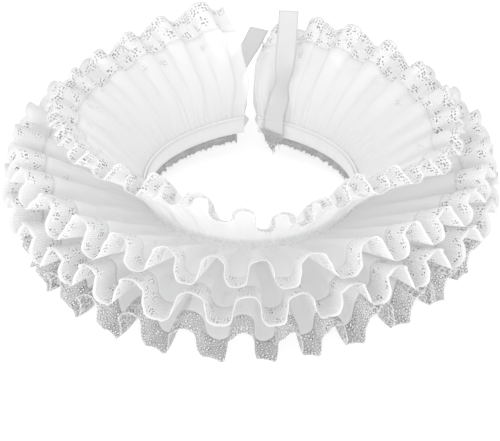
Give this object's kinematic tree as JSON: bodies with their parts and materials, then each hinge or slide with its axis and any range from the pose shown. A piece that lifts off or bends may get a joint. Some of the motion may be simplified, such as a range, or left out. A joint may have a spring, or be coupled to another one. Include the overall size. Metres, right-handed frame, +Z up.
{
  "type": "ruff collar",
  "caption": "Ring-shaped ruff collar of tiered, gathered sheer frills with scalloped lace edgings on a neck band, open at the back, with ribbon ties.",
  "frame": {"origin": "middle of the footprint, on the surface that the collar stands on", "axes": "+Z up through the neck hole, -Y to the front, +Y to the opening at the back, +X to the side of the tie that stands up"},
  "size_m": [0.3296, 0.3274, 0.1042],
  "materials": {
    "organza": "sheer white organza with a soft sheen",
    "lace": "matte white lace edging",
    "satin_ribbon": "white satin ribbon",
    "cotton_tape": "matte white cotton"
  },
  "bodies": {
    "root": {"neck_tape": "satin_ribbon", "neck_band": "cotton_tape", "gathered_heading": "organza", "organza_top": "organza", "organza_second": "organza", "organza_third": "organza", "organza_bottom": "organza", "lace_top": "lace", "lace_second": "lace", "lace_third": "lace", "lace_bottom": "lace", "tie_right": "satin_ribbon", "tie_left": "satin_ribbon", "net_corner": "organza"}
  },
  "joints": []
}
